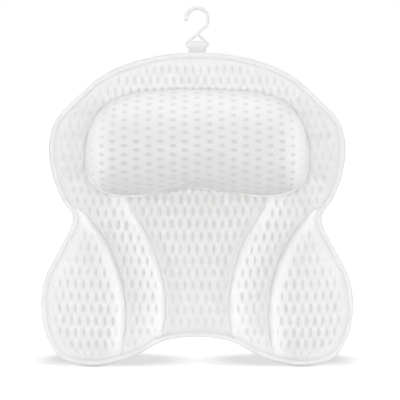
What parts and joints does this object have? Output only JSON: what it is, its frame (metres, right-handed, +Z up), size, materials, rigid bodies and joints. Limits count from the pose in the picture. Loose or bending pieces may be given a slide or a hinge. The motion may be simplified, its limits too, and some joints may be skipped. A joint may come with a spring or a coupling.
{
  "type": "bath pillow",
  "caption": "White spacer-mesh bath pillow with a kidney-shaped headrest, raised wings, suction cups behind and a swinging hook on a webbing loop.",
  "frame": {"origin": "on the tub wall, at the middle of the pattern of suction cups: the plane y = 0 touches the rims of all the cups and x = 0 is the pillow's mirror plane", "axes": "+Z up along the pillow, +Y into the tub wall, +X to the right as seen by someone who faces the pillow"},
  "size_m": [0.38, 0.0986, 0.4362],
  "materials": {
    "spacer_mesh": "matte",
    "back_mesh": "matte",
    "mesh_filling": "matte",
    "binding_tape": "matte",
    "webbing": "matte",
    "hook_plastic": "satin",
    "cup_vinyl": "gloss",
    "eyelet_plastic": "satin"
  },
  "bodies": {
    "pillow": {"back_panel": "back_mesh", "edge_binding": "binding_tape", "centre_panel": "spacer_mesh", "centre_filling": "mesh_filling", "yoke_panel": "spacer_mesh", "yoke_filling": "mesh_filling", "right_wing_panel": "spacer_mesh", "right_wing_filling": "mesh_filling", "left_wing_panel": "spacer_mesh", "left_wing_filling": "mesh_filling", "headrest_cover": "spacer_mesh", "headrest_core": "mesh_filling", "headrest_welt": "binding_tape", "hanging_loop": "webbing", "cup_patch_1": "binding_tape", "cup_patch_2": "binding_tape", "cup_patch_3": "binding_tape", "cup_patch_4": "binding_tape", "cup_patch_5": "binding_tape", "cup_patch_6": "binding_tape", "eyelet_1": "eyelet_plastic", "eyelet_2": "eyelet_plastic", "eyelet_3": "eyelet_plastic", "eyelet_4": "eyelet_plastic", "eyelet_5": "eyelet_plastic", "eyelet_6": "eyelet_plastic", "eyelet_washer_1": "eyelet_plastic", "eyelet_washer_2": "eyelet_plastic", "eyelet_washer_3": "eyelet_plastic", "eyelet_washer_4": "eyelet_plastic", "eyelet_washer_5": "eyelet_plastic", "eyelet_washer_6": "eyelet_plastic"},
    "hook": {"hook": "hook_plastic"},
    "cup_1": {"suction_cup_1": "cup_vinyl"},
    "cup_2": {"suction_cup_2": "cup_vinyl"},
    "cup_3": {"suction_cup_3": "cup_vinyl"},
    "cup_4": {"suction_cup_4": "cup_vinyl"},
    "cup_5": {"suction_cup_5": "cup_vinyl"},
    "cup_6": {"suction_cup_6": "cup_vinyl"}
  },
  "joints": [
    {"name": "hook_swing", "type": "hinge", "parent": "pillow", "child": "hook", "pos_m": [0, -0.02165, 0.20666], "axis": [1, 0, 0], "range_deg": [-115, 115]},
    {"name": "cup_1_spin", "type": "hinge", "parent": "pillow", "child": "cup_1", "pos_m": [0.11799, -0.02, 0.09334], "axis": [0, 1, 0], "continuous": true},
    {"name": "cup_2_spin", "type": "hinge", "parent": "pillow", "child": "cup_2", "pos_m": [-0.11799, -0.02, 0.09334], "axis": [0, 1, 0], "continuous": true},
    {"name": "cup_3_spin", "type": "hinge", "parent": "pillow", "child": "cup_3", "pos_m": [0.04503, -0.02, 0.01333], "axis": [0, 1, 0], "continuous": true},
    {"name": "cup_4_spin", "type": "hinge", "parent": "pillow", "child": "cup_4", "pos_m": [-0.04503, -0.02, 0.01333], "axis": [0, 1, 0], "continuous": true},
    {"name": "cup_5_spin", "type": "hinge", "parent": "pillow", "child": "cup_5", "pos_m": [0.14003, -0.02, -0.10668], "axis": [0, 1, 0], "continuous": true},
    {"name": "cup_6_spin", "type": "hinge", "parent": "pillow", "child": "cup_6", "pos_m": [-0.14003, -0.02, -0.10668], "axis": [0, 1, 0], "continuous": true}
  ]
}
